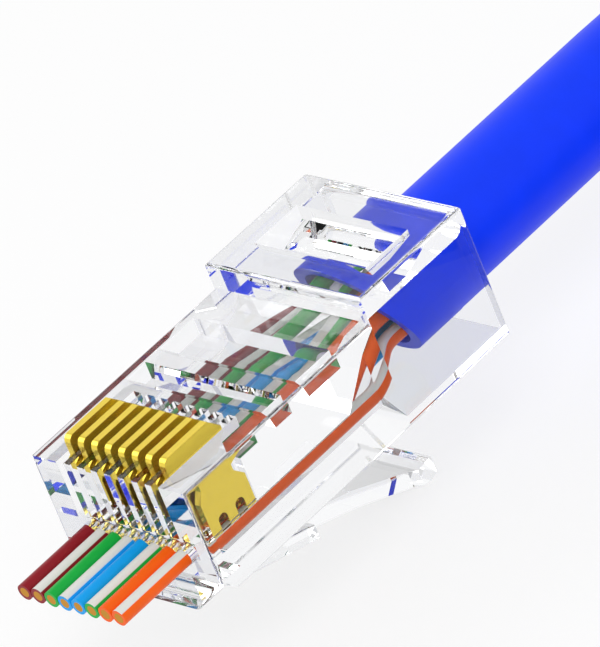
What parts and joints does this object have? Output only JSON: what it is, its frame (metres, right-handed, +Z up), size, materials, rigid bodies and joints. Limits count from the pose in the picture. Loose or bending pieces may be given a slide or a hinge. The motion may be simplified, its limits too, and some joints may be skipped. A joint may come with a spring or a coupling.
{
  "type": "modular network plug",
  "caption": "Clear pass-through modular plug with gold blade contacts and a spring latch, its wires standing out of the nose, on a round lead with a neat coil.",
  "frame": {"origin": "middle of the plug's footprint, from wire ends to rear face, on the surface that it stands on", "axes": "+Y runs from the wire ends to the lead, +Z up with the contacts on top, +X across the contacts towards the first one"},
  "size_m": [0.0884, 0.0998, 0.015],
  "materials": {
    "clear_plastic": "clear moulded polycarbonate",
    "contact_gold": "gold plated",
    "conductor": "bare copper, cut square",
    "insulation_white_orange": "smooth polyethylene",
    "insulation_orange": "smooth polyethylene",
    "insulation_white_green": "smooth polyethylene",
    "insulation_blue": "smooth polyethylene",
    "insulation_white_blue": "smooth polyethylene",
    "insulation_green": "smooth polyethylene",
    "insulation_white_brown": "smooth polyethylene",
    "insulation_brown": "smooth polyethylene",
    "cable_jacket": "satin PVC"
  },
  "bodies": {
    "plug": {"housing": "clear_plastic", "contact_1": "contact_gold", "contact_2": "contact_gold", "contact_3": "contact_gold", "contact_4": "contact_gold", "contact_5": "contact_gold", "contact_6": "contact_gold", "contact_7": "contact_gold", "contact_8": "contact_gold", "core_1": "conductor", "core_2": "conductor", "core_3": "conductor", "core_4": "conductor", "core_5": "conductor", "core_6": "conductor", "core_7": "conductor", "core_8": "conductor", "insulation_1": "insulation_white_orange", "insulation_2": "insulation_orange", "insulation_3": "insulation_white_green", "insulation_4": "insulation_blue", "insulation_5": "insulation_white_blue", "insulation_6": "insulation_green", "insulation_7": "insulation_white_brown", "insulation_8": "insulation_brown", "jacket": "cable_jacket", "cable_tube": "cable_jacket", "cable_coil": "cable_jacket"},
    "latch": {"latch": "clear_plastic"}
  },
  "joints": [
    {"name": "latch_hinge", "type": "hinge", "parent": "plug", "child": "latch", "pos_m": [0, -0.00647, 0.00545], "axis": [1, 0, 0], "range_deg": [0, 15], "stiffness_Nm_per_rad": 0.3}
  ]
}
